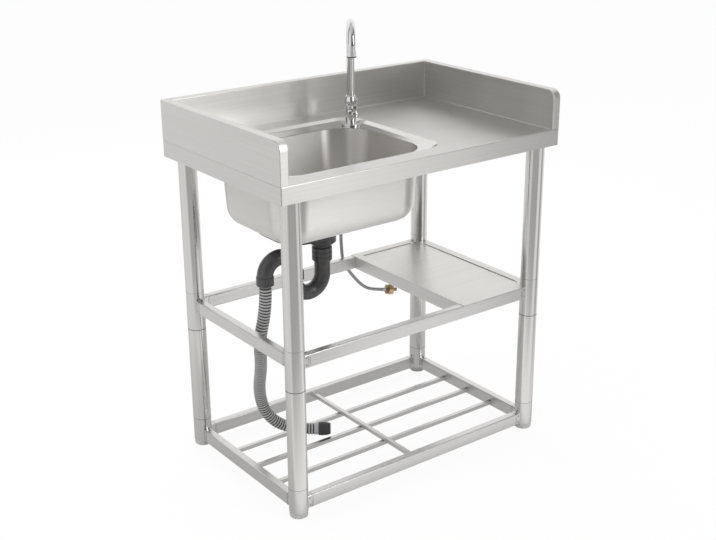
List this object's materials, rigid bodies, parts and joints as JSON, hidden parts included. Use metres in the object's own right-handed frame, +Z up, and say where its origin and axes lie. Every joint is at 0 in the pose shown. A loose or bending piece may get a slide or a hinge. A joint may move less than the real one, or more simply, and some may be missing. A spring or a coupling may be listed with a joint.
{
  "type": "free-standing kitchen sink unit",
  "caption": "Free-standing stainless steel kitchen sink table with a pressed bowl, splashes, swan-neck tap, trap with drain hose, tube frame, side shelf and lower rack.",
  "frame": {"origin": "on the floor under the centre of the worktop", "axes": "+X to the right and +Z up seen from the front, +Y to the back wall; the bowl is on the left"},
  "size_m": [0.8, 0.5, 1.0605],
  "materials": {
    "worktop_steel": "brushed stainless sheet",
    "drain_steel": "polished stainless",
    "frame_steel": "brushed stainless tube",
    "joint_cast": "satin casting matched to the tubes",
    "foot_plastic": "satin moulded",
    "tap_chrome": "polished chrome",
    "tap_brass": "machined",
    "supply_braid": "fine wire braid",
    "supply_end": "dark coated",
    "black_rubber": "matt",
    "trap_plastic": "satin moulded",
    "hose_plastic": "satin moulded ribs"
  },
  "bodies": {
    "base": {"back_splash": "worktop_steel", "coupling_nut": "trap_plastic", "drain_body": "trap_plastic", "drain_flange": "drain_steel", "drain_gasket": "black_rubber", "drain_hose": "hose_plastic", "drain_screw": "drain_steel", "faucet_body": "tap_chrome", "faucet_flange": "tap_chrome", "faucet_nut": "tap_brass", "faucet_shank": "tap_brass", "faucet_washer": "black_rubber", "hose_end": "black_rubber", "left_splash": "worktop_steel", "leg_back_left_bottom_joint": "joint_cast", "leg_back_left_lower_tube": "frame_steel", "leg_back_left_middle_joint": "joint_cast", "leg_back_left_upper_tube": "frame_steel", "leg_back_right_bottom_joint": "joint_cast", "leg_back_right_lower_tube": "frame_steel", "leg_back_right_middle_joint": "joint_cast", "leg_back_right_upper_tube": "frame_steel", "leg_front_left_bottom_joint": "joint_cast", "leg_front_left_lower_tube": "frame_steel", "leg_front_left_middle_joint": "joint_cast", "leg_front_left_upper_tube": "frame_steel", "leg_front_right_bottom_joint": "joint_cast", "leg_front_right_lower_tube": "frame_steel", "leg_front_right_middle_joint": "joint_cast", "leg_front_right_upper_tube": "frame_steel", "lower_rack": "frame_steel", "lower_rail_back": "frame_steel", "lower_rail_front": "frame_steel", "lower_rail_left": "frame_steel", "lower_rail_right": "frame_steel", "mid_rail_back": "frame_steel", "mid_rail_front": "frame_steel", "mid_rail_left": "frame_steel", "mid_rail_right": "frame_steel", "right_splash": "worktop_steel", "shelf": "frame_steel", "sink_bowl": "worktop_steel", "sound_pad": "black_rubber", "supply_hose": "supply_braid", "supply_nut": "tap_brass", "supply_tail": "supply_end", "supply_top_fitting": "tap_brass", "trap_nut": "trap_plastic", "trap_return_bend": "trap_plastic", "trap_u_bend": "trap_plastic", "valve_cartridge": "tap_brass", "worktop": "worktop_steel"},
    "spout": {"faucet_spout": "tap_chrome", "spout_aerator": "tap_chrome"},
    "lever": {"faucet_lever": "tap_chrome"},
    "basket": {"strainer_basket": "drain_steel"},
    "foot_front_left": {"leg_front_left_foot": "foot_plastic"},
    "foot_front_right": {"leg_front_right_foot": "foot_plastic"},
    "foot_back_left": {"leg_back_left_foot": "foot_plastic"},
    "foot_back_right": {"leg_back_right_foot": "foot_plastic"}
  },
  "joints": [
    {"name": "spout_swivel", "type": "hinge", "parent": "base", "child": "spout", "pos_m": [0.04605, 0.1119, 0.865], "axis": [0, 0, 1], "continuous": true},
    {"name": "lever_turn", "type": "hinge", "parent": "base", "child": "lever", "pos_m": [0.04605, 0.1119, 0.825], "axis": [-0.309, -0.9511, 0], "range_deg": [-90, 0]},
    {"name": "basket_lift", "type": "slide", "parent": "base", "child": "basket", "axis": [0, 0, 1], "range_m": [0, 0.08]},
    {"name": "foot_front_left_screw", "type": "slide", "parent": "base", "child": "foot_front_left", "axis": [0, 0, 1], "range_m": [-0.015, 0]},
    {"name": "foot_front_right_screw", "type": "slide", "parent": "base", "child": "foot_front_right", "axis": [0, 0, 1], "range_m": [-0.015, 0]},
    {"name": "foot_back_left_screw", "type": "slide", "parent": "base", "child": "foot_back_left", "axis": [0, 0, 1], "range_m": [-0.015, 0]},
    {"name": "foot_back_right_screw", "type": "slide", "parent": "base", "child": "foot_back_right", "axis": [0, 0, 1], "range_m": [-0.015, 0]}
  ]
}
